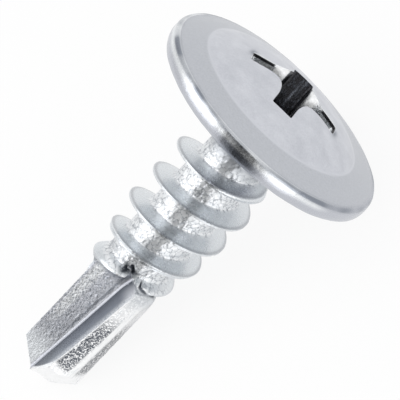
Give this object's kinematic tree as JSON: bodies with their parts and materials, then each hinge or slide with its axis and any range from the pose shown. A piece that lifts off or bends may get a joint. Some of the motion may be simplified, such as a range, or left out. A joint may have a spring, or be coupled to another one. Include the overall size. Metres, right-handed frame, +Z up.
{
  "type": "self-drilling screw with washer head",
  "caption": "Self-drilling screw with a wide low-domed washer head, cross recess, coarse right-hand thread and fluted drill point, lying at rest.",
  "frame": {"origin": "centre of the bounding box, on the surface that the screw lies on", "axes": "+Z up from that surface, +X along the screw from its drill point towards its head, as seen from above; the screw's own axis rises 17.05 degrees towards the head, because it lies on the rim of its head and on two edges of its drill point"},
  "size_m": [0.0152, 0.0098, 0.0094],
  "materials": {
    "zinc_plated_steel": "bright zinc plate over forged and rolled steel: satin on the head, glossy on the rim and the thread, rough in the flutes"
  },
  "bodies": {
    "root": {"self_drilling_screw": "zinc_plated_steel"}
  },
  "joints": []
}
